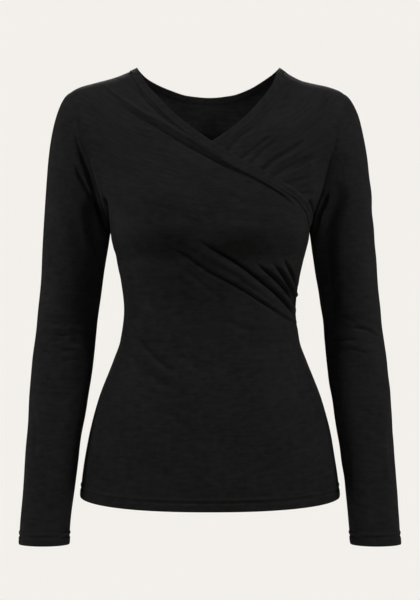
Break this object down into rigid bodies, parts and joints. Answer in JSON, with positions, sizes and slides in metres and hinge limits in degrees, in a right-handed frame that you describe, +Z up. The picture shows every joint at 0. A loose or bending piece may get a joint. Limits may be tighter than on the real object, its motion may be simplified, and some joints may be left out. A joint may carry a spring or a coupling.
{
  "type": "long sleeve wrap shirt",
  "caption": "Fitted long sleeve shirt of black slub jersey, its front wrapped over to one side, with narrow neckbands and set-in sleeves",
  "frame": {"origin": "midway between the two high points of the shoulders, where the neck edge meets the shoulder seams", "axes": "+X is the wearer's left, -Y is the front, +Z is up"},
  "size_m": [0.5281, 0.2277, 0.663],
  "materials": {
    "back_jersey": "matte",
    "front_over_jersey": "matte",
    "front_under_jersey": "matte",
    "neckband_back_jersey": "matte",
    "neckband_over_jersey": "matte",
    "neckband_under_jersey": "matte",
    "sleeve_left_jersey": "matte",
    "sleeve_right_jersey": "matte"
  },
  "bodies": {
    "root": {"back": "back_jersey", "front_over": "front_over_jersey", "front_under": "front_under_jersey", "neckband_back": "neckband_back_jersey", "neckband_over": "neckband_over_jersey", "neckband_under": "neckband_under_jersey", "sleeve_left": "sleeve_left_jersey", "sleeve_right": "sleeve_right_jersey"}
  },
  "joints": []
}
